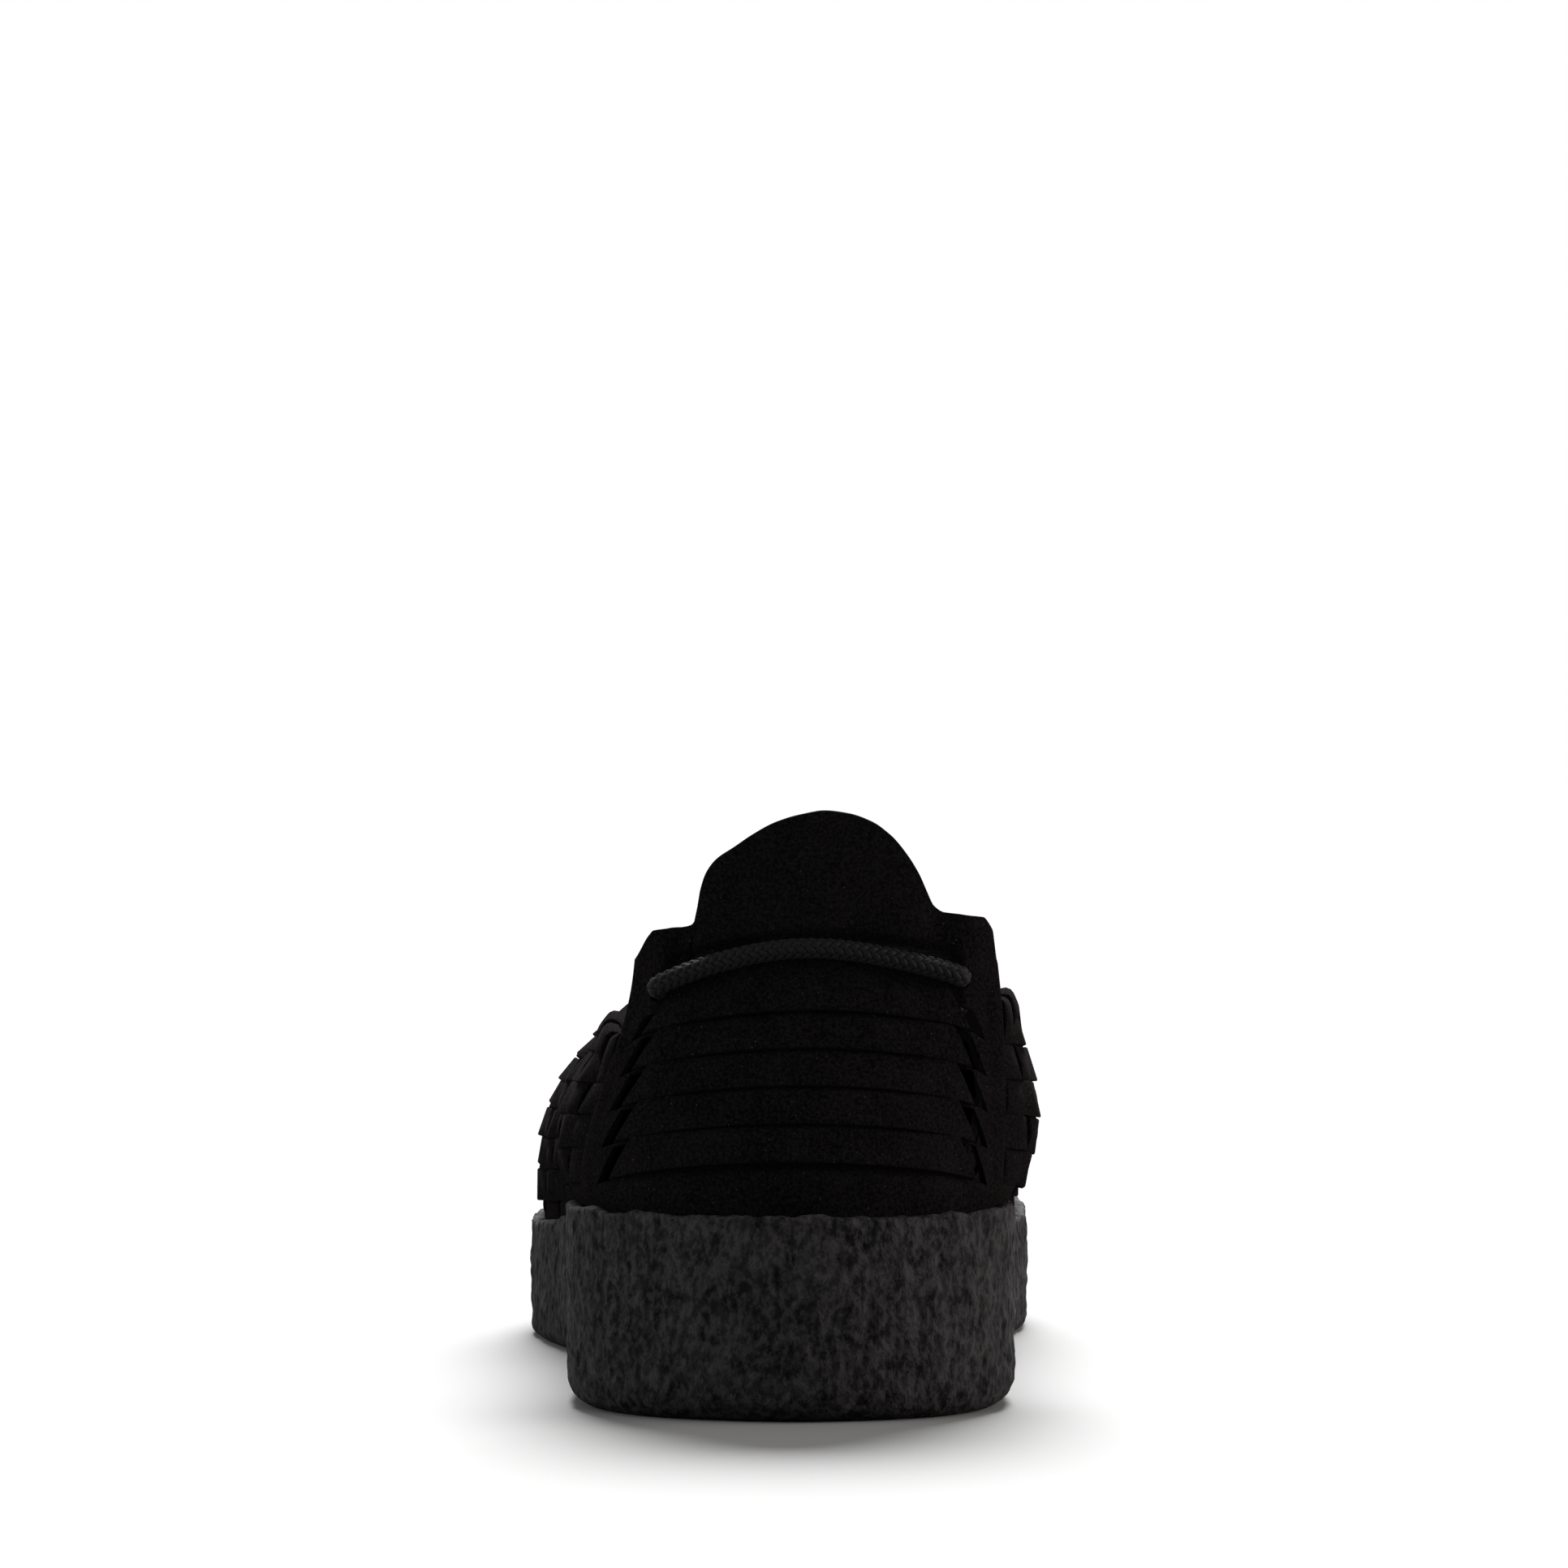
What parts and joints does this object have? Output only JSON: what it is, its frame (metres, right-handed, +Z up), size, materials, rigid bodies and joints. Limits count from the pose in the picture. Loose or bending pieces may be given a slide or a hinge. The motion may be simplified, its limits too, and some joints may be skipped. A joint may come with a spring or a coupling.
{
  "type": "woven leather slip-on shoe",
  "caption": "Left woven huarache slip-on with a tall heel tab, a cord across the heel and a wrapped crumb-rubber sole.",
  "frame": {"origin": "on the floor, under the middle of the sole's length and width", "axes": "+Y towards the toe, +Z up, +X towards the medial side of this left shoe; the heel and forefoot stand on the plane z = 0"},
  "size_m": [0.1004, 0.2832, 0.1052],
  "materials": {
    "crumb_rubber": "dark grey bonded crumb rubber, rough and matt",
    "insole_suede": "black suede footbed, matt",
    "black_suede": "black suede with a short soft nap",
    "braided_cord": "dark grey braided cord, slight sheen"
  },
  "bodies": {
    "root": {"outsole": "crumb_rubber", "insole": "insole_suede", "upper": "black_suede", "cord": "braided_cord"}
  },
  "joints": []
}
